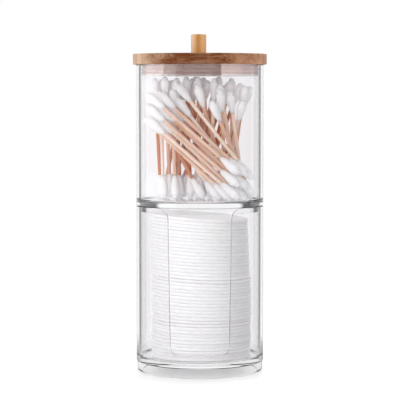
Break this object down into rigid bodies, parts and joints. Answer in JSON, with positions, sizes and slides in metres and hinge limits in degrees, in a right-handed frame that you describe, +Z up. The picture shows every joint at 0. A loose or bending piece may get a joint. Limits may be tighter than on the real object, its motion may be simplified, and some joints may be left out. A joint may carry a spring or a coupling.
{
  "type": "cotton swab organizer",
  "caption": "Two stacked clear round cups: the upper one holds cotton swabs under a bamboo lid, the lower one a stack of round cotton pads behind a front window.",
  "frame": {"origin": "centre of the base, on the surface that the organizer stands on", "axes": "+Z up along the cups' axis; the lower cup's window faces -Y; X to the right seen from the front"},
  "size_m": [0.0786, 0.0786, 0.1978],
  "materials": {
    "clear_acrylic": "clear, polished",
    "bamboo": "fine-sanded, oiled",
    "bamboo_knob": "fine-sanded, oiled",
    "silicone": "translucent, matte",
    "swab_wood": "raw turned wood",
    "cotton_tip": "wound cotton",
    "cotton_pad": "pressed cotton"
  },
  "bodies": {
    "cups": {"lower_cup": "clear_acrylic", "upper_cup": "clear_acrylic", "cotton_pad_01": "cotton_pad", "cotton_pad_02": "cotton_pad", "cotton_pad_03": "cotton_pad", "cotton_pad_04": "cotton_pad", "cotton_pad_05": "cotton_pad", "cotton_pad_06": "cotton_pad", "cotton_pad_07": "cotton_pad", "cotton_pad_08": "cotton_pad", "cotton_pad_09": "cotton_pad", "cotton_pad_10": "cotton_pad", "cotton_pad_11": "cotton_pad", "cotton_pad_12": "cotton_pad", "cotton_pad_13": "cotton_pad", "cotton_pad_14": "cotton_pad", "cotton_pad_15": "cotton_pad", "cotton_pad_16": "cotton_pad", "cotton_pad_17": "cotton_pad", "cotton_pad_18": "cotton_pad", "cotton_pad_19": "cotton_pad", "cotton_pad_20": "cotton_pad", "cotton_pad_21": "cotton_pad", "cotton_pad_22": "cotton_pad", "cotton_pad_23": "cotton_pad", "cotton_pad_24": "cotton_pad", "cotton_pad_25": "cotton_pad", "cotton_pad_26": "cotton_pad", "cotton_pad_27": "cotton_pad", "cotton_pad_28": "cotton_pad", "cotton_pad_29": "cotton_pad", "cotton_pad_30": "cotton_pad", "cotton_pad_31": "cotton_pad", "cotton_pad_32": "cotton_pad", "cotton_pad_33": "cotton_pad", "cotton_pad_34": "cotton_pad", "cotton_pad_35": "cotton_pad", "cotton_pad_36": "cotton_pad", "cotton_pad_37": "cotton_pad", "cotton_pad_38": "cotton_pad", "cotton_pad_39": "cotton_pad", "cotton_pad_40": "cotton_pad", "cotton_pad_41": "cotton_pad", "cotton_pad_42": "cotton_pad", "swab_sticks_front": "swab_wood", "swab_tips_front": "cotton_tip", "swab_sticks_middle": "swab_wood", "swab_tips_middle": "cotton_tip", "swab_sticks_back": "swab_wood", "swab_tips_back": "cotton_tip", "swab_sticks_loose": "swab_wood", "swab_tips_loose": "cotton_tip"},
    "lid": {"lid_disc": "bamboo", "lid_knob": "bamboo_knob", "seal_ring": "silicone"}
  },
  "joints": [
    {"name": "lid_lift", "type": "slide", "parent": "cups", "child": "lid", "axis": [0, 0, 1], "range_m": [0, 0.06]}
  ]
}
